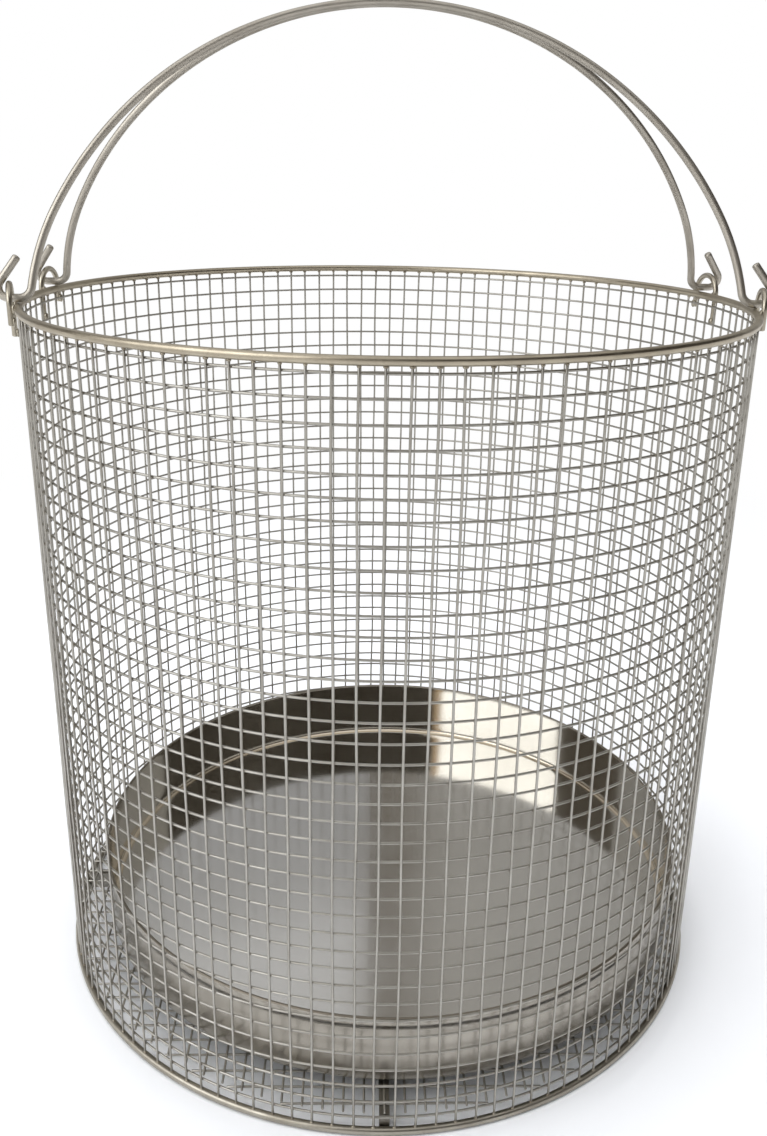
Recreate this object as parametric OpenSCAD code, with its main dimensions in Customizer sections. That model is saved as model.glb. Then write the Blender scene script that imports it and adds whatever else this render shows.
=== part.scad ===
// Autoclave basket: a round basket of welded stainless mesh that stands on a
// foot ring and two crossed bars, holds a loose drip pan on its mesh floor and
// is carried by two wire bails that lean together over the mouth.
// Z is up, the origin is at the middle of the underside, +X runs along the
// bails' pivots and the front is towards -Y.

/* [Mesh wall] */
// Radius of the wall, to the centre of the upright wires
wall_radius = 188; // [120:1:300]
// Number of upright wires round the wall
upright_count = 118; // [40:1:160]
// Number of hoop wires up the wall
row_count = 38; // [10:1:60]
// Diameter of every mesh wire
wire_d = 1.2; // [1:0.1:2.5]
// Angle of the first upright wire from the front
mesh_turn = -1; // [-3:0.1:3]
// Drop of the top hoop below the centre of the rim ring
top_row_drop = 4.9; // [4:0.1:12]

/* [Rings] */
// Height of the rim ring's centre above the table
rim_height = 374; // [200:1:600]
// Diameter of the rim ring's rod
rim_rod_d = 4; // [3:0.1:5]
// Diameter of the foot ring's rod
foot_rod_d = 4; // [3:0.1:5]

/* [Floor] */
// Height of the crossed bars under the floor
bar_height = 10; // [7:0.5:20]
// Thickness of the crossed bars
bar_thickness = 5; // [3:0.5:8]
// Angle of the crossed bars from the bails' pivot line
bar_turn = -2.5; // [-10:0.5:10]
// Spacing of the floor wires
floor_pitch = 10; // [8:0.5:30]

/* [Drip pan] */
// Room all round the pan inside the wall's hoops, when it lies in the middle
pan_clearance = 12.2; // [8:0.1:40]
// Height of the pan
pan_height = 41; // [20:1:100]
// Thickness of the pan's sheet
pan_sheet = 1; // [0.8:0.1:1.5]
// Outer radius of the pan's bottom corner
pan_corner = 3; // [2:0.5:10]
// Height of the folded hem round the pan's edge
hem_height = 5; // [4:0.5:12]
// Distance that the loose pan sits off the middle, to the right
pan_shift_x = 6; // [-6:0.5:6]
// Distance that the loose pan sits off the middle, to the back
pan_shift_y = 3.5; // [-4:0.5:4]

/* [Bails] */
// Diameter of the bails' rod
bail_rod_d = 4; // [3:0.1:5]
// Distance of each bail's pivot in front of or behind the middle
pivot_offset = 40; // [25:1:70]
// Distance of a bail's foot inwards from the rim ring's centre line at its lug
foot_inset = 1; // [0:0.1:2]
// Angle of the crown on each side of the middle
crown_half_angle = 63; // [50:1:70]
// Radius of the shoulders between the crown and the feet
shoulder_radius = 120; // [100:1:130]
// Outward lean of the feet
foot_lean = 8; // [2:1:15]
// Radius of the bend from a foot into its pivot
foot_bend = 6; // [4:0.5:10]

/* [Hooked ends] */
// Length of the pivot that runs out over the rim
pivot_length = 5; // [4:0.5:12]
// Radius of the bend from a pivot up into its hook
hook_bend = 5; // [4:0.5:10]
// Inward lean of the hook's tip
hook_lean = 35; // [0:1:40]
// Straight length of the hook's tip
tip_length = 15; // [6:0.5:25]

/* [Lugs] */
// Diameter of the lugs' rod
lug_rod_d = 3; // [2:0.1:4]
// Spacing of a lug's legs, centre to centre
lug_width = 20; // [16:1:30]
// Height above the rim's centre at which a lug's arch starts
lug_spring = 1; // [1:0.5:6]
// Length of the long leg below the rim's centre
long_leg = 16; // [8:1:30]
// Length of the short leg below the rim's centre
short_leg = 8; // [3:1:20]

/* [Clearances] */
// Gap between pieces that are joined by a spot weld
weld_gap = 0.05; // [0.02:0.01:0.1]
// Gap under a loose piece at rest
seat_gap = 0.3; // [0.1:0.05:0.5]

/* [Hidden] */

rod_facets = 24;
ring_facets = 180;
end_inset = 0.15;
collar_length = 0.8;
collar_extra = 0.1;
wire_r = wire_d / 2;

// The uprights stand between the two rings, and the hoops run round their inside.
upright_step = 360 / upright_count;
upright_top = rim_height - rim_rod_d / 2;
hoop_radius = wall_radius - wire_d - weld_gap;
pan_radius = hoop_radius - wire_r - pan_clearance;
low_row = bar_height - wire_r - weld_gap;
row_pitch = (rim_height - top_row_drop - low_row) / (row_count - 1);
band_count = 5;
band_rows = ceil(row_count / band_count);

// The bars end inside the foot ring and the hoops.
bar_reach = min(wall_radius - foot_rod_d / 2, hoop_radius - wire_r) - weld_gap;

// The floor is two layers of wires on the bars and the lowest hoop.
floor_reach = wall_radius - wire_r - seat_gap;
floor_count = floor((floor_reach - wire_d) / floor_pitch);
lower_layer = bar_height + weld_gap + wire_r;
upper_layer = lower_layer + wire_d + weld_gap;
pan_base = upper_layer + wire_r + seat_gap;

// A bail turns on its pivots, which lie on the rim ring inside the lugs.
pivot_height = rim_height + rim_rod_d / 2 + seat_gap + bail_rod_d / 2;
pivot_start = sqrt(wall_radius * wall_radius - pivot_offset * pivot_offset) - foot_inset;
pivot_end = pivot_start + pivot_length;

// The crown has the radius that brings both shoulders over the feet.
shoulder_x = pivot_start - (shoulder_radius + foot_bend) * cos(foot_lean);
shoulder_y = foot_bend * (1 - sin(foot_lean)) - shoulder_radius * sin(foot_lean);
crown_radius = shoulder_radius + shoulder_x / sin(crown_half_angle);
crown_y = shoulder_y - (crown_radius - shoulder_radius) * cos(crown_half_angle);
bail_rise = crown_y + crown_radius;
bail_tilt = asin((pivot_offset - (bail_rod_d + seat_gap) / 2) / bail_rise);

// A lug stands against the outside of the rim ring, astride a pivot.
lug_radius = wall_radius + (rim_rod_d + lug_rod_d) / 2 + weld_gap;
lug_angle = asin(pivot_offset / lug_radius);

steel = [0.74, 0.72, 0.68];
bright_steel = [0.82, 0.81, 0.79];
dark_steel = [0.5, 0.48, 0.45];

// Round rod bent into a full ring
module ring(radius, rod_d) {
    rotate_extrude($fn = ring_facets)
        translate([radius, 0])
            circle(d = rod_d, $fn = rod_facets);
}

// Round rod bent to an arc in the XY plane, from one angle to another, a hair
// short of both ends so that collars can close them
module arc(centre, radius, from, to, rod_d) {
    short = end_inset / radius * 180 / PI;
    translate([centre[0], centre[1], 0])
        rotate([0, 0, from + short])
            rotate_extrude(angle = to - from - 2 * short, $fn = ring_facets)
                translate([radius, 0])
                    circle(d = rod_d, $fn = rod_facets);
}

// Straight round rod in the XY plane, from a point in a given direction
module straight(start, direction, length, rod_d) {
    translate([start[0], start[1], 0])
        rotate([0, 0, direction])
            rotate([0, 90, 0])
                translate([0, 0, end_inset])
                    cylinder(h = length - end_inset, d = rod_d, $fn = rod_facets);
}

// Short collar in the XY plane that joins two runs of rod end to end
module collar(point, direction, rod_d) {
    translate([point[0], point[1], 0])
        rotate([0, 0, direction])
            rotate([0, 90, 0])
                cylinder(h = collar_length, d = rod_d + collar_extra, center = true, $fn = rod_facets);
}

// Point on a circle in the XY plane
function on_circle(centre, radius, angle) = [
    centre[0] + radius * cos(angle),
    centre[1] + radius * sin(angle)
];

module uprights() {
    color(steel)
        for (k = [0 : upright_count - 1])
            rotate([0, 0, mesh_turn - 90 + k * upright_step])
                translate([wall_radius, 0, foot_rod_d])
                    cylinder(h = upright_top - foot_rod_d, d = wire_d, $fn = rod_facets);
}

// Hoops of one band of the wall, with the bands counted from 0 at the floor
module hoop_band(band) {
    color(steel)
        for (k = [band * band_rows : min((band + 1) * band_rows, row_count) - 1])
            translate([0, 0, low_row + k * row_pitch])
                ring(hoop_radius, wire_d);
}

module rim_ring() {
    color(bright_steel)
        translate([0, 0, rim_height])
            ring(wall_radius, rim_rod_d);
}

module foot_ring() {
    color(steel)
        translate([0, 0, foot_rod_d / 2])
            ring(wall_radius, foot_rod_d);
}

// Half the length of a straight piece of a given width inside a circle
function half_chord(radius, edge) = sqrt(radius * radius - edge * edge);

module through_bar() {
    reach = half_chord(bar_reach, bar_thickness / 2);
    color(dark_steel)
        rotate([0, 0, bar_turn])
            translate([-bar_thickness / 2, -reach, 0])
                cube([bar_thickness, 2 * reach, bar_height]);
}

module half_bars() {
    reach = half_chord(bar_reach, bar_thickness / 2);
    start = bar_thickness / 2 + weld_gap;
    color(dark_steel)
        for (side = [0, 180])
            rotate([0, 0, bar_turn + side])
                translate([start, -bar_thickness / 2, 0])
                    cube([reach - start, bar_thickness, bar_height]);
}

// One layer of parallel floor wires, all clipped to the round wall
module floor_wires() {
    for (k = [-floor_count : floor_count]) {
        reach = half_chord(floor_reach, abs(k) * floor_pitch + wire_r);
        translate([-reach, k * floor_pitch, 0])
            rotate([0, 90, 0])
                cylinder(h = 2 * reach, d = wire_d, $fn = rod_facets);
    }
}

module lower_floor_wires() {
    color(steel)
        translate([0, 0, lower_layer])
            rotate([0, 0, bar_turn])
                floor_wires();
}

module upper_floor_wires() {
    color(steel)
        translate([0, 0, upper_layer])
            rotate([0, 0, bar_turn + 90])
                floor_wires();
}

// Half section of the pan: flat floor, rounded corner, upright wall and hem
module pan_section() {
    inner = pan_radius - pan_sheet;
    difference() {
        union() {
            translate([0, pan_corner])
                square([pan_radius, pan_height - pan_corner - pan_sheet]);
            square([pan_radius - pan_corner, pan_corner + pan_sheet]);
            translate([pan_radius - pan_corner, pan_corner])
                circle(r = pan_corner, $fn = 48);
        }
        translate([-1, pan_corner])
            square([inner + 1, pan_height]);
        translate([-1, pan_sheet])
            square([pan_radius - pan_corner + 1, pan_height]);
        translate([pan_radius - pan_corner, pan_corner])
            circle(r = pan_corner - pan_sheet, $fn = 48);
    }
    translate([inner, pan_height - hem_height])
        square([2 * pan_sheet, hem_height - pan_sheet]);
    translate([pan_radius, pan_height - pan_sheet])
        circle(r = pan_sheet, $fn = 32);
}

module drip_pan() {
    color(bright_steel)
        translate([pan_shift_x, pan_shift_y, pan_base])
            rotate_extrude($fn = ring_facets)
                pan_section();
}

// Lug at the right rear, before it is turned into place: a rod bent over into
// an arch, with its long leg towards the middle and its short leg behind
module lug() {
    arch_radius = lug_width / 2;
    translate([lug_radius, 0, rim_height + lug_spring])
        rotate([90, 0, 90]) {
            arc([0, 0], arch_radius, 0, 180, lug_rod_d);
            collar([-arch_radius, 0], 90, lug_rod_d);
            collar([arch_radius, 0], 90, lug_rod_d);
            straight([-arch_radius, 0], -90, long_leg + lug_spring, lug_rod_d);
            straight([arch_radius, 0], -90, short_leg + lug_spring, lug_rod_d);
        }
}

module lug_rear_right() {
    color(steel)
        rotate([0, 0, lug_angle])
            lug();
}

module lug_rear_left() {
    mirror([1, 0, 0])
        lug_rear_right();
}

module lug_front_right() {
    mirror([0, 1, 0])
        lug_rear_right();
}

module lug_front_left() {
    mirror([1, 0, 0])
        lug_front_right();
}

// Right end of a bail: shoulder, foot bend, pivot and hook
module bail_end() {
    shoulder = [shoulder_x, shoulder_y];
    foot = [pivot_start, foot_bend];
    hook = [pivot_end, hook_bend];
    tip = on_circle(hook, hook_bend, hook_lean);
    collar(on_circle(shoulder, shoulder_radius, 90 - crown_half_angle), -crown_half_angle, bail_rod_d);
    arc(shoulder, shoulder_radius, foot_lean, 90 - crown_half_angle, bail_rod_d);
    collar(on_circle(shoulder, shoulder_radius, foot_lean), 90 + foot_lean, bail_rod_d);
    arc(foot, foot_bend, 180 + foot_lean, 270, bail_rod_d);
    collar([pivot_start, 0], 0, bail_rod_d);
    straight([pivot_start, 0], 0, pivot_length - end_inset, bail_rod_d);
    collar([pivot_end, 0], 0, bail_rod_d);
    arc(hook, hook_bend, 270, 360 + hook_lean, bail_rod_d);
    collar(tip, 90 + hook_lean, bail_rod_d);
    straight(tip, 90 + hook_lean, tip_length, bail_rod_d);
}

// Whole bail in the XY plane, with its pivot line on the X axis
module bail() {
    crown = [0, crown_y];
    arc(crown, crown_radius, 90 - crown_half_angle, 90 + crown_half_angle, bail_rod_d);
    bail_end();
    rotate([0, 180, 0])
        bail_end();
}

// The front bail leans back over the mouth, and the rear one leans forward.
module front_bail() {
    color(steel)
        translate([0, -pivot_offset, pivot_height])
            rotate([90 - bail_tilt, 0, 0])
                bail();
}

module rear_bail() {
    color(steel)
        translate([0, pivot_offset, pivot_height])
            rotate([90 + bail_tilt, 0, 0])
                bail();
}

uprights();
hoop_band(0);  // hoop_band_1
hoop_band(1);  // hoop_band_2
hoop_band(2);  // hoop_band_3
hoop_band(3);  // hoop_band_4
hoop_band(4);  // hoop_band_5
rim_ring();
foot_ring();
through_bar();
half_bars();
lower_floor_wires();
upper_floor_wires();
drip_pan();
lug_front_left();
lug_front_right();
lug_rear_left();
lug_rear_right();
front_bail();
rear_bail();
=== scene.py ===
import math

import bmesh
import bpy
import numpy as np
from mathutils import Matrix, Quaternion, Vector


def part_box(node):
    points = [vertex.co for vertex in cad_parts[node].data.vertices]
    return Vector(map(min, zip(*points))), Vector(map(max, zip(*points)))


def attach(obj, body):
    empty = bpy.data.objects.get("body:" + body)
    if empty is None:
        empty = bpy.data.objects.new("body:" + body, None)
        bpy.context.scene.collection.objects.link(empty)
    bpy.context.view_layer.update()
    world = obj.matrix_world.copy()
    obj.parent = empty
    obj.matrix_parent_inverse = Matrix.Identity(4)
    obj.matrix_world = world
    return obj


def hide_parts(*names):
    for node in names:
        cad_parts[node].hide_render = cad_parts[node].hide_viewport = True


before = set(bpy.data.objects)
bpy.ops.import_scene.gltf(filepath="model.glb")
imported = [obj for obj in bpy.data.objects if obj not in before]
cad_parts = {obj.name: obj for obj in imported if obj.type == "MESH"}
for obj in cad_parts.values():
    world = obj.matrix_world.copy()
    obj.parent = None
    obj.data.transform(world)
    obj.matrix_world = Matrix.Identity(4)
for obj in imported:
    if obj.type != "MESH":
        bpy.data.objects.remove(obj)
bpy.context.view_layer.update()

# ---------------------------------------------------------------- sizes, in metres


def heights(node):
    """Heights of a CAD node's lowest and highest point."""
    low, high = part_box(node)
    return low.z, high.z


def middle(node):
    low, high = heights(node)
    return (low + high) / 2


def thickness(node):
    """A flat-lying CAD node's extent upwards, which is its rod's thickness."""
    low, high = heights(node)
    return high - low


def ring_radius(node):
    """Radius of a CAD ring to the middle of its rod."""
    low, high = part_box(node)
    return (high.x - low.x) / 2 - thickness(node) / 2


RIM_D = thickness("rim_ring")
RIM_Z = middle("rim_ring")
WALL_R = ring_radius("rim_ring")
FOOT_D = thickness("foot_ring")
FOOT_Z = middle("foot_ring")
FOOT_R = ring_radius("foot_ring")
WIRE_D = thickness("lower_floor_wires")
UP_LOW, UP_TOP = heights("uprights")
WELD_GAP = 0.00005  # between the CAD's welded rods
SEAT_GAP = 0.0003  # where its pieces only rest, and round the floor wires' ends
HOOP_R = WALL_R - WIRE_D - WELD_GAP
UPRIGHTS = 118
ROWS = 38  # hoops from the lowest to the top one
BANDS = ["hoop_band_%d" % n for n in range(1, 6)]
LOW_ROW = heights(BANDS[0])[0] + WIRE_D / 2
TOP_ROW = heights(BANDS[-1])[1] - WIRE_D / 2
ROW_PITCH = (TOP_ROW - LOW_ROW) / (ROWS - 1)
MESH_TURN = math.radians(-1)  # of the first upright, from the middle of the front
UP = np.array([0, 0, 1.0])

# ---------------------------------------------------------------- small unevenness

SINES = 3


def waves(count, size, seed):
    """Phases, strengths and rates of the sines that make each of count wires uneven."""
    draw = np.random.default_rng(seed)
    return (
        draw.uniform(0, 2 * math.pi, (count, SINES)),
        draw.uniform(0.3, 1.0, (count, SINES)) * size / 2,
        draw.uniform(0.6, 1.4, (count, SINES)) * np.array([1.0, 2.3, 4.1]),
    )


def wave(sines, i, place):
    """Offset of wire i at a place along it."""
    phase, size, rate = sines
    return sum(size[i, k] * np.sin(phase[i, k] + rate[i, k] * place) for k in range(SINES))


def ripple(sines, i, angle):
    """Offset of ring i at an angle. Its sines are whole waves, so that the ring closes."""
    phase, size, _ = sines
    return sum(size[i, k] * np.sin(phase[i, k] + (k + 2) * angle) for k in range(SINES))


def varied(share, turn):
    """Scale that differs from weld to weld by up to that share."""
    return 1 + share * math.sin(turn)


# ---------------------------------------------------------------- mesh building

END_TURNS = np.radians([90, 62, 32])  # where the rings of a rod's rounded end lie
END_DEPTH = 0.45  # that end's depth, as a share of the rod's radius
END_FLAT = 0.02  # radius of the flat at its tip, as a share of the rod's
POLE = 0.06  # angle round a weld's pole that a flat face closes
LATHE_UV_R = 0.174  # radius at which a lathed form's UV is true to size


def arc(x, y, r, start, end, n):
    """Points of an arc after its first one."""
    return [(x + r * math.cos(q), y + r * math.sin(q)) for q in np.linspace(start, end, n)[1:]]


def straight(start, end, n):
    """Points of a straight stretch after its first one."""
    return list(zip(np.linspace(start[0], end[0], n)[1:], np.linspace(start[1], end[1], n)[1:]))


def round_axis(r, angle, z):
    """Points at those radii, angles and heights."""
    return np.stack([r * np.cos(angle), r * np.sin(angle), z], -1)


def facing(angle):
    """Outward and sideways directions at an angle round the basket."""
    out = np.array([math.cos(angle), math.sin(angle), 0])
    return out, np.array([-out[1], out[0], 0])


def rod_end(tip, out, radius):
    """Middles and radii of the rings that round a rod's end, from its tip to the full rod."""
    base = tip - out * radius * END_DEPTH
    middles = [base + out * radius * END_DEPTH * math.sin(x) for x in END_TURNS] + [base]
    radii = [radius * max(math.cos(x), END_FLAT) for x in END_TURNS] + [radius]
    return np.array(middles), np.array(radii)


def with_end_rings(axes):
    """A rod's ring axes, with the first and the last one repeated for its rounded ends."""
    extra = len(END_TURNS)
    return np.vstack([axes[:1].repeat(extra, 0), axes, axes[-1:].repeat(extra, 0)])


class Builder:
    """Collects tubes, lathed forms and welds in one mesh, with UVs in metres along and round."""

    def __init__(self):
        self.points = []
        self.faces = []
        self.uvs = []
        self.count = 0

    def grid(self, rings, closed_u, closed_v, u, v, flip):
        """Faces between rings of points. u has a value for each ring and v one for each point of it."""
        n, m = rings.shape[:2]
        base = self.count
        self.points.append(rings.reshape(-1, 3))
        self.count += n * m
        i = np.arange(n if closed_u else n - 1)
        j = np.arange(m if closed_v else m - 1)
        i, j = np.meshgrid(i, j, indexing="ij")
        next_i, next_j = (i + 1) % n, (j + 1) % m
        corners = (i * m + j, next_i * m + j, next_i * m + next_j, i * m + next_j)
        quads = np.stack(corners, -1).reshape(-1, 4) + base
        if closed_u:
            u = np.append(u, u[-1] + (u[-1] - u[-2]))
        if closed_v:
            v = np.append(v, v[-1] + (v[-1] - v[-2]))
        i, j = i.reshape(-1), j.reshape(-1)
        places = ((i, j), (i + 1, j), (i + 1, j + 1), (i, j + 1))
        uv = np.stack([np.stack([u[a], v[b]], -1) for a, b in places], 1)
        if flip:
            quads, uv = quads[:, ::-1], uv[:, ::-1]
        self.faces.extend(quads.tolist())
        self.uvs.append(uv.reshape(-1, 2))

    def cap(self, corners):
        """Flat face over an end, whose UVs all lie at one point."""
        self.faces.append(list(corners))
        self.uvs.append(np.zeros((len(corners), 2)))

    def tube(self, path, ref, radius, sides=8, closed=False):
        """Round rod along a path. ref points to the side where each ring starts."""
        path = np.asarray(path, float)
        n = len(path)
        ahead = np.roll(path, -1, 0) - np.roll(path, 1, 0) if closed else np.gradient(path, axis=0)
        ahead = ahead / np.linalg.norm(ahead, axis=1)[:, None]
        first = np.broadcast_to(np.asarray(ref, float), (n, 3))
        first = first - (first * ahead).sum(1)[:, None] * ahead
        first = first / np.linalg.norm(first, axis=1)[:, None]
        second = np.cross(ahead, first)
        radii = np.broadcast_to(np.asarray(radius, float), (n,)).copy()
        if not closed:
            head, head_radii = rod_end(path[0], -ahead[0], radii[0])
            tail, tail_radii = rod_end(path[-1], ahead[-1], radii[-1])
            path = np.vstack([head, path[1:-1], tail[::-1]])
            radii = np.concatenate([head_radii, radii[1:-1], tail_radii[::-1]])
            first, second = with_end_rings(first), with_end_rings(second)
        turns = 2 * math.pi * np.arange(sides) / sides
        rings = path[:, None, :] + radii[:, None, None] * (
            np.cos(turns)[None, :, None] * first[:, None, :]
            + np.sin(turns)[None, :, None] * second[:, None, :]
        )
        steps = np.linalg.norm(np.diff(path, axis=0), axis=1)
        along = np.concatenate([[0], np.cumsum(steps)])
        around = np.arange(sides) / sides * float(radii.mean()) * 2 * math.pi
        head = self.count
        tail = head + (len(path) - 1) * sides
        self.grid(rings, closed, True, along, around, flip=True)
        if not closed:
            self.cap(range(head + sides - 1, head - 1, -1))
            self.cap(range(tail, tail + sides))

    def blob(self, centre, axes, rows, cols):
        """Squashed ball with half axes given as three vectors."""
        axes = np.asarray(axes, float)
        tilt = np.linspace(POLE, math.pi - POLE, rows)
        turn = 2 * math.pi * np.arange(cols) / cols
        x = np.sin(tilt)[:, None] * np.cos(turn)[None, :]
        y = np.sin(tilt)[:, None] * np.sin(turn)[None, :]
        z = np.repeat(np.cos(tilt)[:, None], cols, 1)
        rings = centre + x[..., None] * axes[0] + y[..., None] * axes[1] + z[..., None] * axes[2]
        size = float(np.linalg.norm(axes[2]))
        right_handed = np.linalg.det(axes) > 0
        top = range(self.count, self.count + cols)
        low = range(self.count + (rows - 1) * cols, self.count + rows * cols)
        self.grid(rings, False, True, tilt * size, turn * size, flip=not right_handed)
        self.cap(top if right_handed else top[::-1])
        self.cap(low[::-1] if right_handed else low)

    def lathe(self, profile, centre, segments):
        """Profile of (radius, height), from axis to axis, turned about the upright axis."""
        profile = np.asarray(profile, float)
        turns = 2 * math.pi * np.arange(segments) / segments
        x = profile[None, :, 0] * np.cos(turns)[:, None] + centre[0]
        y = profile[None, :, 0] * np.sin(turns)[:, None] + centre[1]
        z = np.repeat(profile[None, :, 1], segments, 0) + centre[2]
        steps = np.linalg.norm(np.diff(profile, axis=0), axis=1)
        along = np.concatenate([[0], np.cumsum(steps)])
        self.grid(np.stack([x, y, z], -1), True, False, turns * LATHE_UV_R, along, flip=True)

    def done(self, name, body, materials, replaces=()):
        """Object of what was collected, riding on a body and standing in for CAD nodes."""
        mesh = bpy.data.meshes.new(name)
        mesh.from_pydata(np.vstack(self.points).tolist(), [], self.faces)
        layer = mesh.uv_layers.new(name="UVMap")
        layer.data.foreach_set("uv", np.vstack(self.uvs).astype(np.float32).ravel())
        mesh.polygons.foreach_set("use_smooth", [True] * len(mesh.polygons))
        mesh.update()
        mesh.validate()
        o = bpy.data.objects.new(name, mesh)
        bpy.context.scene.collection.objects.link(o)
        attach(o, body)
        if replaces:
            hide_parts(*replaces)
        for material in materials:
            mesh.materials.append(material)
        return o


# ---------------------------------------------------------------- shader helpers


def nodes_of(name):
    """New material, its node tree and the only node left in that, the output."""
    material = bpy.data.materials.new(name)
    material.use_nodes = True
    tree = material.node_tree
    tree.nodes.clear()
    return material, tree, tree.nodes.new("ShaderNodeOutputMaterial")


def link(tree, a, b):
    tree.links.new(a, b)


def noise(tree, vector, scale, detail, rough, stretch=None):
    if stretch:
        mapping = tree.nodes.new("ShaderNodeMapping")
        mapping.inputs["Scale"].default_value = stretch
        link(tree, vector, mapping.inputs["Vector"])
        vector = mapping.outputs["Vector"]
    node = tree.nodes.new("ShaderNodeTexNoise")
    node.inputs["Scale"].default_value = scale
    node.inputs["Detail"].default_value = detail
    node.inputs["Roughness"].default_value = rough
    link(tree, vector, node.inputs["Vector"])
    return node.outputs["Fac"]


def span(tree, value, lo_out, hi_out, lo_in=0.3, hi_in=0.7):
    """Value moved from the span lo_in to hi_in to the span lo_out to hi_out."""
    node = tree.nodes.new("ShaderNodeMapRange")
    node.inputs["From Min"].default_value = lo_in
    node.inputs["From Max"].default_value = hi_in
    node.inputs["To Min"].default_value = lo_out
    node.inputs["To Max"].default_value = hi_out
    link(tree, value, node.inputs["Value"])
    return node.outputs["Result"]


def ramp(tree, value, stops):
    """Colour for a value, from stops of a place and a colour."""
    node = tree.nodes.new("ShaderNodeValToRGB")
    elements = node.color_ramp.elements
    while len(elements) < len(stops):
        elements.new(0.5)
    for element, (at, colour) in zip(elements, stops):
        element.position = at
        element.color = (*colour, 1)
    link(tree, value, node.inputs["Fac"])
    return node.outputs["Color"]


def mix(tree, fac, a, b, kind="MIX"):
    """Colours a and b mixed. Each of the two can be a socket or a colour, and fac a socket or a number."""
    node = tree.nodes.new("ShaderNodeMix")
    node.data_type = "RGBA"
    node.blend_type = kind
    node.clamp_result = True
    fac_in, a_in, b_in = node.inputs[0], node.inputs[6], node.inputs[7]
    if isinstance(fac, float):
        fac_in.default_value = fac
    else:
        link(tree, fac, fac_in)
    for socket, x in ((a_in, a), (b_in, b)):
        if isinstance(x, tuple):
            socket.default_value = (*x, 1)
        else:
            link(tree, x, socket)
    return node.outputs[2]


def maths(tree, operation, a, b):
    node = tree.nodes.new("ShaderNodeMath")
    node.operation = operation
    link(tree, a, node.inputs[0])
    link(tree, b, node.inputs[1])
    return node.outputs[0]


def seen_directly(tree):
    """1 for camera, glossy and transmission rays, and 0 for the others."""
    path = tree.nodes.new("ShaderNodeLightPath")
    seen = maths(tree, "MAXIMUM", path.outputs["Is Camera Ray"], path.outputs["Is Glossy Ray"])
    return maths(tree, "MAXIMUM", seen, path.outputs["Is Transmission Ray"])


def mix_shaders(tree, out, fac, a, b):
    """Sends shader a to the output where fac is 0, and shader b where it is 1."""
    node = tree.nodes.new("ShaderNodeMixShader")
    link(tree, fac, node.inputs[0])
    link(tree, a.outputs[0], node.inputs[1])
    link(tree, b.outputs[0], node.inputs[2])
    link(tree, node.outputs[0], out.inputs["Surface"])


def glow(tree, kind, colour, strength=1.0):
    """Node of that kind that gives off a colour."""
    node = tree.nodes.new(kind)
    node.inputs["Color"].default_value = (*colour, 1)
    node.inputs["Strength"].default_value = strength
    return node


# ---------------------------------------------------------------- materials


def shade(colour, share):
    return tuple(share * c for c in colour)


def metal(tree, out, tint, rough, relief, strength, distance):
    """Metal of that tint and roughness, with a bump from relief."""
    shader = tree.nodes.new("ShaderNodeBsdfPrincipled")
    link(tree, tint, shader.inputs["Base Color"])
    shader.inputs["Metallic"].default_value = 1.0
    link(tree, rough, shader.inputs["Roughness"])
    bump = tree.nodes.new("ShaderNodeBump")
    bump.inputs["Strength"].default_value = strength
    bump.inputs["Distance"].default_value = distance
    link(tree, relief, bump.inputs["Height"])
    link(tree, bump.outputs["Normal"], shader.inputs["Normal"])
    link(tree, shader.outputs["BSDF"], out.inputs["Surface"])


def drawn_steel(name, light, dark, rough, grain=900.0, bump=0.00002, speck=0.25):
    """Drawn stainless rod: lengthwise draw lines, faint mottling, dark specks and dull patches."""
    material, tree, out = nodes_of(name)
    place = tree.nodes.new("ShaderNodeTexCoord")
    stretch = (60.0, grain * 4, 1.0)
    lines = noise(tree, place.outputs["UV"], scale=1.0, detail=4.0, rough=0.6, stretch=stretch)
    patches = noise(tree, place.outputs["Object"], scale=55.0, detail=3.0, rough=0.55)
    specks = noise(tree, place.outputs["Object"], scale=700.0, detail=2.0, rough=0.5)
    tint = ramp(tree, patches, [(0.3, dark), (0.62, light)])
    tint = mix(tree, span(tree, lines, 0.0, 0.35), tint, shade(dark, 0.72))
    tint = mix(tree, span(tree, specks, 0.0, speck, 0.55, 0.75), tint, shade(dark, 0.6))
    dullness = span(tree, patches, rough[1], rough[0])
    metal(tree, out, tint, dullness, lines, strength=0.35, distance=bump)
    return material


def pan_steel(name, light, dark, rough):
    """Sheet steel with fine lines round the pan, faint clouds and wipe marks."""
    material, tree, out = nodes_of(name)
    place = tree.nodes.new("ShaderNodeTexCoord")
    stretch = (6.0, 2600.0, 1.0)
    lines = noise(tree, place.outputs["UV"], scale=1.0, detail=5.0, rough=0.65, stretch=stretch)
    clouds = noise(tree, place.outputs["Object"], scale=9.0, detail=3.0, rough=0.5)
    wipes = noise(tree, place.outputs["Object"], scale=38.0, detail=4.0, rough=0.6)
    tint = ramp(tree, clouds, [(0.3, dark), (0.7, light)])
    tint = mix(tree, span(tree, lines, 0.0, 0.25), tint, shade(dark, 0.78))
    dullness = span(tree, wipes, rough[0], rough[1])
    metal(tree, out, tint, dullness, lines, strength=0.1, distance=0.00003)
    return material


def flat_steel(name, light, dark, rough):
    """Flat bar with faint patches and mill lines, which run along X on every bar."""
    material, tree, out = nodes_of(name)
    place = tree.nodes.new("ShaderNodeTexCoord")
    stretch = (30.0, 1500.0, 1500.0)
    lines = noise(tree, place.outputs["Object"], scale=1.0, detail=4.0, rough=0.6, stretch=stretch)
    patches = noise(tree, place.outputs["Object"], scale=40.0, detail=3.0, rough=0.5)
    tint = ramp(tree, patches, [(0.3, dark), (0.7, light)])
    tint = mix(tree, span(tree, lines, 0.0, 0.4), tint, shade(dark, 0.7))
    dullness = span(tree, lines, rough[0], rough[1])
    metal(tree, out, tint, dullness, lines, strength=0.3, distance=0.00003)
    return material


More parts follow.
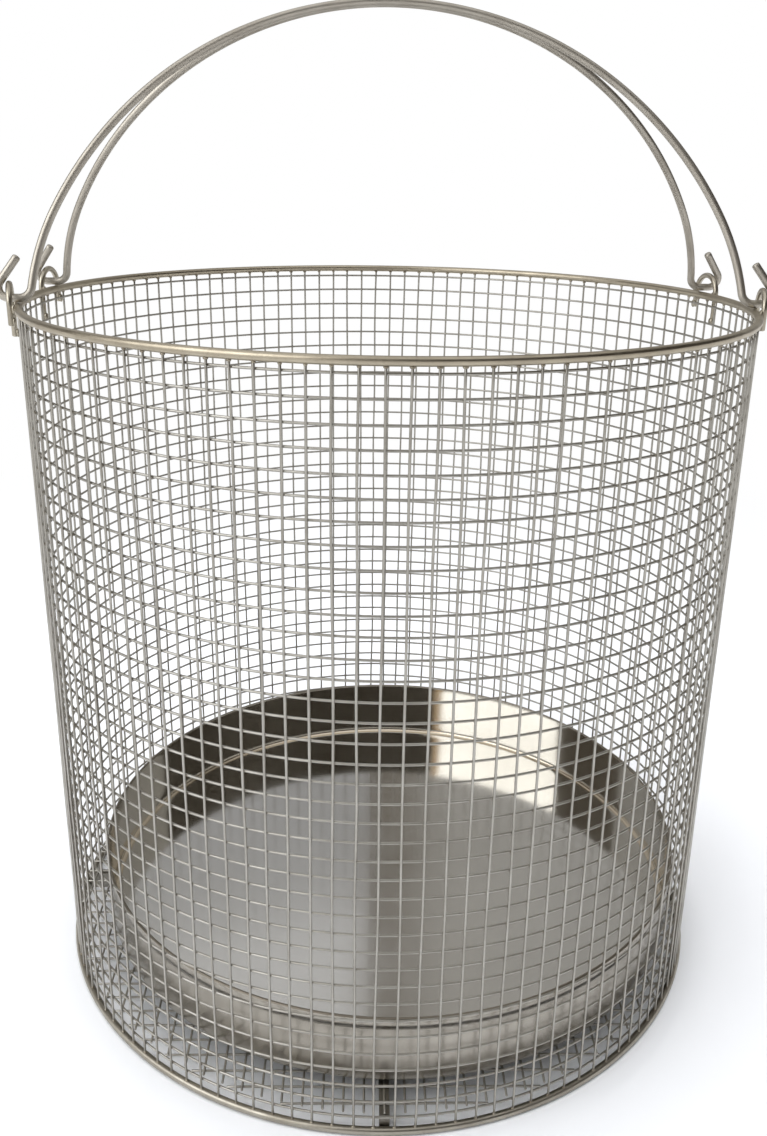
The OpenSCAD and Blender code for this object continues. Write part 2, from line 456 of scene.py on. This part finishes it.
WIRE = drawn_steel("mesh_wire_steel", (0.47, 0.452, 0.412), (0.37, 0.35, 0.312), rough=(0.3, 0.44))
RIM = drawn_steel(
    "rim_rod_steel", (0.50, 0.445, 0.345), (0.40, 0.35, 0.27), rough=(0.3, 0.42), bump=0.00001
)
FOOT = drawn_steel("foot_rod_steel", (0.44, 0.41, 0.35), (0.33, 0.30, 0.25), rough=(0.3, 0.44))
HANDLE = drawn_steel(
    "handle_rod_steel", (0.52, 0.485, 0.425), (0.44, 0.405, 0.35), rough=(0.42, 0.52),
    grain=300.0, bump=0.000005, speck=0.08,
)
LUG = drawn_steel("lug_rod_steel", (0.52, 0.48, 0.40), (0.38, 0.34, 0.27), rough=(0.26, 0.4))
WELD = drawn_steel("weld_steel", (0.47, 0.43, 0.35), (0.26, 0.22, 0.17), rough=(0.34, 0.5))
BAR = flat_steel("bar_steel", (0.42, 0.40, 0.36), (0.32, 0.30, 0.27), rough=(0.3, 0.46))
PAN_FLOOR = pan_steel("pan_floor_steel", (0.73, 0.72, 0.70), (0.64, 0.63, 0.605), rough=(0.09, 0.15))
# a little darker and warmer copy of the floor's steel on the inner wall: painted tone of the wall's
# reflections
PAN_WALL = pan_steel("pan_wall_steel", (0.68, 0.65, 0.59), (0.58, 0.55, 0.49), rough=(0.06, 0.11))
# darker copy of the pan's steel for its outside and underside: painted shade
PAN_OUTER_PAINTED_SHADE = pan_steel("pan_outer_painted_shade", (0.50, 0.465, 0.41), (0.40, 0.37, 0.32), rough=(0.17, 0.27))
# dark copy of the pan's steel over the top of its rolled edge: a painted dark line for the rim's
# reflection and shade
PAN_RIM_PAINTED_DARK = pan_steel("pan_rim_painted_dark_line", (0.28, 0.25, 0.205), (0.21, 0.185, 0.15), rough=(0.3, 0.42))
# warmer copy of the pan's steel in the bend between floor and wall: a painted warm highlight along that
# corner
PAN_FILLET_WARM_GLINT = pan_steel("pan_fillet_painted_warm_glint", (0.70, 0.62, 0.50), (0.60, 0.52, 0.41), rough=(0.12, 0.2))

# ---------------------------------------------------------------- wall mesh

UP_OVER = 0.0006  # how far an upright runs past its CAD ends, into the rings
UP_POINTS = 40
SIDE_RATE = 12  # how fast an upright's wave to the sides changes with height
DEPTH_RATE = 14  # and its wave in and out
HOOP_OUT = 0.00016  # takes the hoops out past the weld gap, into the uprights
WELD_HALF = 0.00068  # half a spot weld's width and height
WELD_THICK = 0.0005  # half its thickness
UP_SIDE = waves(UPRIGHTS, size=0.0005, seed=11)
UP_DEPTH = waves(UPRIGHTS, size=0.00018, seed=12)
HOOP_RISE = waves(ROWS, size=0.00035, seed=13)
HOOP_DEPTH = waves(ROWS, size=0.00012, seed=14)


def upright_at(k, z):
    """Points of upright k at the heights z, and their angles round the basket."""
    place = MESH_TURN - math.pi / 2 + 2 * math.pi * k / UPRIGHTS
    angle = place + wave(UP_SIDE, k, z * SIDE_RATE) / WALL_R
    return round_axis(WALL_R + wave(UP_DEPTH, k, z * DEPTH_RATE), angle, z), angle


def row_height(j):
    return LOW_ROW + j * ROW_PITCH


def hoop_at(j, angle):
    """Points of hoop j at those angles. The lowest and the top one stay level."""
    level = j in (0, ROWS - 1)
    z = row_height(j) + (0 * angle if level else ripple(HOOP_RISE, j, angle))
    return round_axis(HOOP_R + HOOP_OUT + ripple(HOOP_DEPTH, j, angle), angle, z)


def wall_uprights():
    b = Builder()
    z = np.linspace(UP_LOW - UP_OVER, UP_TOP + UP_OVER, UP_POINTS)
    for k in range(UPRIGHTS):
        path, angle = upright_at(k, z)
        b.tube(path, round_axis(1, angle, 0 * angle), WIRE_D / 2, sides=10)
    b.done("wall_uprights", "basket", [WIRE], ["uprights"])


def wall_hoops():
    b = Builder()
    angle = np.linspace(0, 2 * math.pi, 2 * UPRIGHTS, endpoint=False)
    for j in range(ROWS):
        b.tube(hoop_at(j, angle), UP, WIRE_D / 2, closed=True)
    b.done("wall_hoops", "basket", [WIRE], BANDS)


def wall_spot_welds():
    b = Builder()
    for k in range(UPRIGHTS):
        for j in range(ROWS):
            upright, angle = upright_at(k, np.array([row_height(j)]))
            hoop = hoop_at(j, angle)
            centre = (upright[0] + hoop[0]) / 2
            centre[2] = hoop[0][2]
            out, side = facing(angle[0])
            half = WELD_HALF * varied(0.18, k * 7.3 + j * 3.1)
            b.blob(centre, [side * half, out * WELD_THICK, UP * half], rows=4, cols=6)
    b.done("wall_spot_welds", "basket", [WELD])


wall_uprights()
wall_hoops()
wall_spot_welds()

# ---------------------------------------------------------------- rings

RING_POINTS = 360
RING_WAVE = 0.00012
SWELL = 0.006  # share by which a ring's rod changes in thickness
SWELLS = 9  # how many times it does so on the way round
BEAD_SIDE = 0.0011  # half axes of the weld where an upright meets a ring
BEAD_OUT = 0.0009
BEAD_UP = 0.0007
BEAD_BACK = 0.0002  # how far its middle lies back from the upright's CAD end


def ring_piece(name, radius, height, rod_d, node, material, seed):
    """Ring of rod, a little out of round and nowhere thicker than the CAD's."""
    b = Builder()
    angle = np.linspace(0, 2 * math.pi, RING_POINTS, endpoint=False)
    r = radius + ripple(waves(1, RING_WAVE, seed), 0, angle)
    half = np.minimum(rod_d / 2 * (1 + SWELL * np.sin(angle * SWELLS + 1)), rod_d / 2)
    b.tube(round_axis(r, angle, 0 * angle + height), UP, half, sides=20, closed=True)
    b.done(name, "basket", [material], [node])


def ring_welds():
    b = Builder()
    for k in range(UPRIGHTS):
        for z, inwards in ((UP_TOP, -1), (UP_LOW, 1)):
            out, side = facing(upright_at(k, np.array([z]))[1][0])
            wide = BEAD_SIDE * varied(0.2, k * 5.7 + z * 40)
            centre = out * WALL_R + UP * (z + BEAD_BACK * inwards)
            b.blob(centre, [side * wide, out * BEAD_OUT, UP * BEAD_UP], rows=5, cols=8)
    b.done("ring_welds", "basket", [WELD])


ring_piece("rim_ring_rod", WALL_R, RIM_Z, RIM_D, "rim_ring", RIM, 21)
ring_piece("foot_ring_rod", FOOT_R, FOOT_Z, FOOT_D, "foot_ring", FOOT, 22)
ring_welds()

# ---------------------------------------------------------------- floor wires and bars

BAR_TURN = math.radians(-2.5)
FLOOR_PITCH = 0.010
FLOOR_REACH = WALL_R - WIRE_D / 2 - SEAT_GAP
FLOOR_SIDE = int((FLOOR_REACH - WIRE_D) // FLOOR_PITCH)  # wires on each side of the middle one
FLOOR_SLACK = 0.0001  # how far a floor wire's end stays short of its reach
FLOOR_POINTS = 24
FLOOR_WAVE = 0.0006
FLOOR_RATE = 14  # how fast a floor wire's wave changes along it
BAR_BEVEL = 0.0005


def floor_layer(name, turn, node, seed):
    """Layer of parallel wires, each cut to the round and uneven between its ends."""
    b = Builder()
    sines = waves(2 * FLOOR_SIDE + 1, FLOOR_WAVE, seed)
    c, s = math.cos(turn), math.sin(turn)
    for i in range(-FLOOR_SIDE, FLOOR_SIDE + 1):
        off = i * FLOOR_PITCH
        reach = math.sqrt(FLOOR_REACH**2 - off**2) - FLOOR_SLACK
        x = np.linspace(-reach, reach, FLOOR_POINTS)
        y = off + wave(sines, i + FLOOR_SIDE, x * FLOOR_RATE) * (1 - (x / reach) ** 2)
        path = np.stack([x * c - y * s, x * s + y * c, 0 * x + middle(node)], -1)
        b.tube(path, UP, WIRE_D / 2)
    b.done(name, "basket", [WIRE], [node])


def dress_bar(node):
    """Gives a CAD bar its steel and softens its edges."""
    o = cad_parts[node]
    o.data.materials.clear()
    o.data.materials.append(BAR)
    bevel = o.modifiers.new("edge", "BEVEL")
    bevel.width = BAR_BEVEL
    bevel.segments = 2
    bevel.limit_method = "ANGLE"


floor_layer("floor_wires_low", BAR_TURN, "lower_floor_wires", 31)
floor_layer("floor_wires_high", BAR_TURN + math.pi / 2, "upper_floor_wires", 32)
dress_bar("through_bar")
dress_bar("half_bars")

# ---------------------------------------------------------------- pan

lo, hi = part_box("drip_pan")
PAN_X = (lo.x + hi.x) / 2
PAN_Y = (lo.y + hi.y) / 2
PAN_R = (hi.x - lo.x) / 2
PAN_LOW, PAN_TOP = heights("drip_pan")
SHEET = 0.001
CORNER = 0.003  # inner radius between the floor and the wall
LIP = 0.001  # how far below the top the straight part of the inner wall ends
HEM = 0.0009  # radius of the rolled top, and how far the hem stands out
HEM_SHY = 0.00005  # how far the hem's outside stays within the pan's radius
HEM_DROP = 0.0048  # how far below the top the hem's outside ends
EDGE_IN = 0.0004  # how far within the pan's radius the hem's lower edge is cut off
EDGE_DOWN = 0.0002  # and how far below its outside
HEM_UNDER = 0.0003  # how far below that outside the hem comes back to the wall
AXIS_GAP = 0.002  # radius of the first ring of points round the middle
TINY = 0.000001  # joins the points left on the pan's axis, and keeps a division there safe
EDGE_BAND = 0.0006  # how far below the top the rolled edge's painted dark line reaches
OUTSIDE = 0.2  # a face that points outwards more than this is on the outside
UNDERSIDE = -0.5  # one that points up less than this is underneath
INNER_WALL = -0.9  # one that points outwards less than this is on the inner wall
INNER_CORNER = -0.08  # and less than this, in the corner at its foot
PAN_TONES_BY_FACING = (PAN_FLOOR, PAN_WALL, PAN_OUTER_PAINTED_SHADE, PAN_RIM_PAINTED_DARK, PAN_FILLET_WARM_GLINT)


def pan_profile():
    """From the middle of the floor out, up the wall, over the hem, down and back underneath."""
    height = PAN_TOP - PAN_LOW
    wall = PAN_R - HEM
    inside = wall - SHEET
    bend = wall - SHEET - CORNER
    hem = PAN_R - HEM_SHY
    hem_low = height - HEM_DROP
    bend_z = SHEET + CORNER
    points = [(0.0, SHEET), (AXIS_GAP, SHEET)]
    points += straight((AXIS_GAP, SHEET), (bend, SHEET), n=30)
    points += arc(bend, bend_z, CORNER, -math.pi / 2, 0, n=8)
    points += straight((inside, bend_z), (inside, height - LIP), n=14)
    points += arc(inside + HEM, height - HEM, HEM, math.pi, 0, n=9)
    points += straight((hem, height - HEM), (hem, hem_low), n=4)
    points += [(PAN_R - EDGE_IN, hem_low - EDGE_DOWN), (wall, hem_low - HEM_UNDER)]
    points += straight((wall, hem_low - HEM_UNDER), (wall, bend_z), n=12)
    points += arc(bend, bend_z, CORNER + SHEET, 0, -math.pi / 2, n=9)
    points += straight((bend, 0.0), (AXIS_GAP, 0.0), n=24)
    return points + [(0.0, 0.0)]


def pan_tone_by_facing(centre, normal):
    """A face's tone, from where it lies and which way it points. The tones are lighter and darker copies
    of one steel, so their light and shade is painted.
    """
    x, y = centre.x - PAN_X, centre.y - PAN_Y
    outward = (x * normal.x + y * normal.y) / max(math.hypot(x, y), TINY)
    if centre.z > PAN_TOP - EDGE_BAND:
        return PAN_RIM_PAINTED_DARK
    if outward > OUTSIDE or normal.z < UNDERSIDE:
        return PAN_OUTER_PAINTED_SHADE
    if outward < INNER_WALL:
        return PAN_WALL
    if outward < INNER_CORNER:
        return PAN_FILLET_WARM_GLINT
    return PAN_FLOOR


def pan():
    b = Builder()
    b.lathe(pan_profile(), (PAN_X, PAN_Y, PAN_LOW), segments=288)
    mesh = b.done("pan", "basket", PAN_TONES_BY_FACING, ["drip_pan"]).data
    merged = bmesh.new()
    merged.from_mesh(mesh)
    bmesh.ops.remove_doubles(merged, verts=merged.verts, dist=TINY)
    merged.to_mesh(mesh)
    merged.free()
    for face in mesh.polygons:
        face.material_index = PAN_TONES_BY_FACING.index(pan_tone_by_facing(face.center, face.normal))


pan()

# ---------------------------------------------------------------- lugs

PIVOT_Y = 0.040  # how far each handle's pivots lie from the middle
LUG_D = 0.003
LUG_HALF = 0.010  # half the width between the middles of a lug's legs
LUG_SPRING = 0.001  # how far its arch springs above the rim's middle
LONG_LEG = 0.017
SHORT_LEG = 0.009
LUG_TOUCH = WALL_R + (RIM_D + LUG_D) / 2  # radius at which a lug's rod touches the rim's
LUG_IN = 0.0002  # how far a lug is pressed into the rim
LUG_R = LUG_TOUCH - LUG_IN
LUG_ANGLE = math.asin(PIVOT_Y / (LUG_TOUCH + WELD_GAP))
RIM_WELD = (0.0021, 0.0011, 0.0026)  # half axes along the rim, outwards and up
LEG_WELD = (0.0017, 0.0010, 0.0022)
LEG_WELD_UP = 0.002  # how far the weld's middle lies above a leg's end
LEG_WELD_IN = 0.9  # and inside the leg's middle, as a share of its radius


def lug(name, side, back):
    """Arch of bent rod astride a pivot, with its long leg on the middle's side."""
    out, along = facing(LUG_ANGLE * back if side > 0 else math.pi - LUG_ANGLE * back)
    across = along * side * back
    base = out * LUG_R + UP * (RIM_Z + LUG_SPRING)
    r = LUG_HALF
    path = [base - across * r + UP * z for z in np.linspace(-LONG_LEG, 0, 14, endpoint=False)]
    for turn in np.radians(np.linspace(180, 0, 29)):
        path.append(base + across * r * math.cos(turn) + UP * r * math.sin(turn))
    path += [base + across * r + UP * z for z in np.linspace(0, -SHORT_LEG, 9)[1:]]
    b = Builder()
    b.tube(path, out, LUG_D / 2, sides=16)
    inward = -out * (LUG_D / 2)
    for foot, low in ((-1, -LONG_LEG), (1, -SHORT_LEG)):
        leg = base + across * r * foot
        welds = (
            (leg + inward - UP * LUG_SPRING, RIM_WELD),
            (leg + inward * LEG_WELD_IN + UP * (low + LEG_WELD_UP), LEG_WELD),
        )
        for centre, (wide, deep, high) in welds:
            b.blob(centre, [across * wide, out * deep, UP * high], rows=8, cols=12)
    b.done(name + "_rod", "basket", [LUG], [name])


lug("lug_front_right", 1, -1)
lug("lug_front_left", -1, -1)
lug("lug_rear_right", 1, 1)
lug("lug_rear_left", -1, 1)

# ---------------------------------------------------------------- handles

HANDLE_D = 0.004
SHOULDER_R = 0.120
FOOT_BEND = 0.006  # radius of the bend from a leg into its pivot
HOOK_BEND = 0.005  # and of the one from the pivot up into the hook
CROWN_TURN = math.radians(63)  # half the crown's arc
LEG_LEAN = math.radians(8)  # lean of the leg where the shoulder meets the foot's bend
HOOK_LEAN = math.radians(35)  # lean of the hook's straight tip
PIVOT_L = 0.005
TIP_L = 0.015
FOOT_INSET = 0.001  # how far inside the rim's middle line the pivot starts
PIVOT_X = math.sqrt(WALL_R**2 - PIVOT_Y**2) - FOOT_INSET
PIVOT_Z = RIM_Z + RIM_D / 2 + SEAT_GAP + HANDLE_D / 2


def half_bail():
    """Right half of a bail in its own plane, from the crown's top to the hook's tip."""
    shoulder_x = PIVOT_X - (SHOULDER_R + FOOT_BEND) * math.cos(LEG_LEAN)
    shoulder_y = FOOT_BEND * (1 - math.sin(LEG_LEAN)) - SHOULDER_R * math.sin(LEG_LEAN)
    crown_r = SHOULDER_R + shoulder_x / math.sin(CROWN_TURN)
    crown_y = shoulder_y - (crown_r - SHOULDER_R) * math.cos(CROWN_TURN)
    crown_end = math.pi / 2 - CROWN_TURN
    hook_x = PIVOT_X + PIVOT_L
    tip = (hook_x + HOOK_BEND * math.cos(HOOK_LEAN), HOOK_BEND * (1 + math.sin(HOOK_LEAN)))
    tip_end = (tip[0] - TIP_L * math.sin(HOOK_LEAN), tip[1] + TIP_L * math.cos(HOOK_LEAN))
    points = [(0.0, crown_y + crown_r)]
    points += arc(0, crown_y, crown_r, math.pi / 2, crown_end, n=60)
    points += arc(shoulder_x, shoulder_y, SHOULDER_R, crown_end, LEG_LEAN, n=26)
    points += arc(PIVOT_X, FOOT_BEND, FOOT_BEND, math.pi + LEG_LEAN, 1.5 * math.pi, n=14)
    points += straight((PIVOT_X, 0.0), (hook_x, 0.0), n=6)
    points += arc(hook_x, HOOK_BEND, HOOK_BEND, -math.pi / 2, HOOK_LEAN, n=18)
    points += straight(tip, tip_end, n=8)
    return np.array(points)


def handle(name, body, back, node):
    """Bail on its own pivots, leaning to the middle until the two crowns all but touch."""
    half = half_bail()
    rise = half[0, 1]
    lean = -back * math.asin((PIVOT_Y - (HANDLE_D + SEAT_GAP) / 2) / rise)
    left = half[::-1][:-1] * np.array([-1, 1])
    flat = np.vstack([left, half])
    up = np.array([0, math.sin(lean), math.cos(lean)])
    normal = np.array([0, math.cos(lean), -math.sin(lean)])
    path = flat[:, :1] * np.array([1.0, 0, 0]) + flat[:, 1:] * up
    path = path + np.array([0, PIVOT_Y * back, PIVOT_Z])
    b = Builder()
    b.tube(path, normal, HANDLE_D / 2, sides=18)
    b.done(name, body, [HANDLE], [node])


handle("front_handle_rod", "front_handle", -1, "front_bail")
handle("rear_handle_rod", "rear_handle", 1, "rear_bail")

# ---------------------------------------------------------------- stage

WHITE = (1, 1, 1)
FLOOR_HALF = 6
FLOOR_COLOUR = (0.90, 0.905, 0.92)
FADE_START = 0.45  # radius at which the floor starts to turn white where it is seen
FADE_END = 1.1  # and the one from which it is white
FILL_COLOUR = (0.95, 0.97, 1.0)
FILL = 0.4
CARD_ROWS = 8
LAMP_AWAY = 1.9
LAMP_AIM = Vector((0, 0, 0.1))  # the point that the lamps face


def stage_mesh(name, points, faces):
    mesh = bpy.data.meshes.new(name)
    mesh.from_pydata(points, [], faces)
    o = bpy.data.objects.new(name, mesh)
    bpy.context.scene.collection.objects.link(o)
    return o


def studio_floor():
    """Pale floor that takes the shadow near the basket and is plain white far off."""
    h = FLOOR_HALF
    o = stage_mesh("studio_floor", [(-h, -h, 0), (h, -h, 0), (h, h, 0), (-h, h, 0)], [(0, 1, 2, 3)])
    material, tree, out = nodes_of("pale_floor")
    place = tree.nodes.new("ShaderNodeTexCoord")
    away = tree.nodes.new("ShaderNodeVectorMath")
    away.operation = "LENGTH"
    link(tree, place.outputs["Object"], away.inputs[0])
    far = span(tree, away.outputs["Value"], 0.0, 1.0, FADE_START, FADE_END)
    paper = tree.nodes.new("ShaderNodeBsdfDiffuse")
    paper.inputs["Color"].default_value = (*FLOOR_COLOUR, 1)
    white = glow(tree, "ShaderNodeEmission", WHITE)
    mix_shaders(tree, out, maths(tree, "MULTIPLY", seen_directly(tree), far), paper, white)
    o.data.materials.append(material)


def studio_world():
    """White where it is seen, and a weaker light to fill the rest."""
    world = bpy.data.worlds.new("studio")
    bpy.context.scene.world = world
    world.use_nodes = True
    tree = world.node_tree
    tree.nodes.clear()
    out = tree.nodes.new("ShaderNodeOutputWorld")
    fill = glow(tree, "ShaderNodeBackground", FILL_COLOUR, FILL)
    white = glow(tree, "ShaderNodeBackground", WHITE)
    mix_shaders(tree, out, seen_directly(tree), fill, white)


def curved_patch(name, az, el, distance, steps):
    """Patch of a sphere with UVs over its width and height. Azimuth 0 is +Y and 90 is +X."""
    points, faces, uv = [], [], []
    for e in np.radians(np.linspace(*el, CARD_ROWS)):
        for q in np.radians(np.linspace(*az, steps)):
            level = distance * math.cos(e)
            points.append((level * math.sin(q), level * math.cos(q), distance * math.sin(e)))
    for k in range(CARD_ROWS - 1):
        for i in range(steps - 1):
            corner = k * steps + i
            faces.append((corner, corner + 1, corner + steps + 1, corner + steps))
            for du, dv in ((0, 0), (1, 0), (1, 1), (0, 1)):
                uv.append(((i + du) / (steps - 1), (k + dv) / (CARD_ROWS - 1)))
    o = stage_mesh(name, points, faces)
    o.data.uv_layers.new(name="UVMap").data.foreach_set("uv", np.array(uv, np.float32).ravel())
    return o


def card(name, az, el, colour, distance=2.2, steps=24, across=None, up=None):
    """Curved reflector or flag round the basket, seen only by reflections.

    across and up are stops over its width and height, each a brightness or a colour.
    """
    o = curved_patch(name, az, el, distance, steps)
    material, tree, out = nodes_of(name + "_paper")
    light = glow(tree, "ShaderNodeEmission", colour)
    link(tree, light.outputs[0], out.inputs["Surface"])
    place = tree.nodes.new("ShaderNodeTexCoord")
    axes = tree.nodes.new("ShaderNodeSeparateXYZ")
    link(tree, place.outputs["UV"], axes.inputs["Vector"])
    tint = colour
    for stops, axis in ((across, "X"), (up, "Y")):
        if stops:
            stops = [(at, v if isinstance(v, tuple) else (v, v, v)) for at, v in stops]
            tint = mix(tree, 1.0, tint, ramp(tree, axes.outputs[axis], stops), "MULTIPLY")
            link(tree, tint, light.inputs["Color"])
    o.data.materials.append(material)
    o.visible_camera = False
    o.visible_diffuse = False
    o.visible_shadow = False


def lamp(name, az, el, width, height, power, colour):
    """Soft box that faces LAMP_AIM. Azimuth 0 is +Y and 90 is +X."""
    light = bpy.data.lights.new(name, "AREA")
    light.shape = "RECTANGLE"
    light.size, light.size_y = width, height
    light.energy = power
    light.color = colour
    o = bpy.data.objects.new(name, light)
    bpy.context.scene.collection.objects.link(o)
    q, e = math.radians(az), math.radians(el)
    at = Vector((math.sin(q) * math.cos(e), math.cos(q) * math.cos(e), math.sin(e)))
    o.location = at * LAMP_AWAY + LAMP_AIM
    o.rotation_mode = "QUATERNION"
    o.rotation_quaternion = at.to_track_quat("Z", "Y")
    o.visible_camera = False
    return o


studio_floor()
studio_world()
card("flag_front_right", az=(60, 205), el=(14, 54), colour=(0.026, 0.018, 0.010))
card("flag_left", az=(-89, -50), el=(14, 54), colour=(0.10, 0.082, 0.064))
card(
    "card_back_left", az=(-50, 2.8), el=(8, 68), colour=(0.84, 0.84, 0.845),
    up=[(0.0, 0.52), (0.44, 0.54), (0.51, 0.68), (0.565, 0.95), (0.7, 1.0)],
)
card(
    "card_back_right", az=(2.8, 60), el=(8, 68), colour=(0.46, 0.45, 0.43), steps=64,
    across=[
        (0.0, (0.40, 0.36, 0.31)),
        (0.045, (0.46, 0.42, 0.37)),
        (0.075, (0.66, 0.64, 0.61)),
        (0.12, (0.9, 0.89, 0.87)),
        (0.3, 1.0),
    ],
)
card("curtain", az=(205, 208.5), el=(20, 56), colour=(0.9, 0.62, 0.34), distance=2.15, steps=4)
lamp("window", az=-122, el=38, width=1.95, height=1.1, power=16, colour=(0.96, 0.98, 1.0))
overhead = lamp("overhead", az=0, el=88, width=1.6, height=1.6, power=39, colour=(0.985, 0.99, 1.0))
overhead.visible_glossy = False

# ---------------------------------------------------------------- camera

PITCH = 0.3376  # in radians, like the other two
ROLL = 0.0165
YAW = math.radians(3.85)
NOMINAL_R = 0.188  # the wall's nominal radius, and the unit of the next two
AWAY = 3.0583 * NOMINAL_R  # from the basket's axis
EYE = 2.3454 * NOMINAL_R  # above the floor
PICTURE_WIDE = 767  # the picture's size, in its own pixels
PICTURE_HIGH = 1136
FOCAL = 1057.39  # focal length in those pixels
AXIS_X = 384.93  # where the camera's axis meets the picture
AXIS_Y = 538.57
SENSOR = 36.0


def camera():
    lens = bpy.data.cameras.new("camera")
    o = bpy.data.objects.new("camera", lens)
    bpy.context.scene.collection.objects.link(o)
    level = math.cos(PITCH)
    look = Vector((math.sin(YAW) * level, math.cos(YAW) * level, -math.sin(PITCH)))
    o.location = (-AWAY * math.sin(YAW), -AWAY * math.cos(YAW), EYE)
    o.rotation_mode = "QUATERNION"
    o.rotation_quaternion = look.to_track_quat("-Z", "Y") @ Quaternion((0, 0, 1), ROLL)
    lens.sensor_width = SENSOR
    lens.lens = FOCAL * SENSOR / PICTURE_HIGH
    lens.shift_x = (PICTURE_WIDE / 2 - AXIS_X) / PICTURE_HIGH
    lens.shift_y = (AXIS_Y - PICTURE_HIGH / 2) / PICTURE_HIGH
    lens.clip_start = 0.01
    lens.clip_end = 50
    bpy.context.scene.camera = o


camera()
bpy.context.scene.view_settings.view_transform = "Standard"
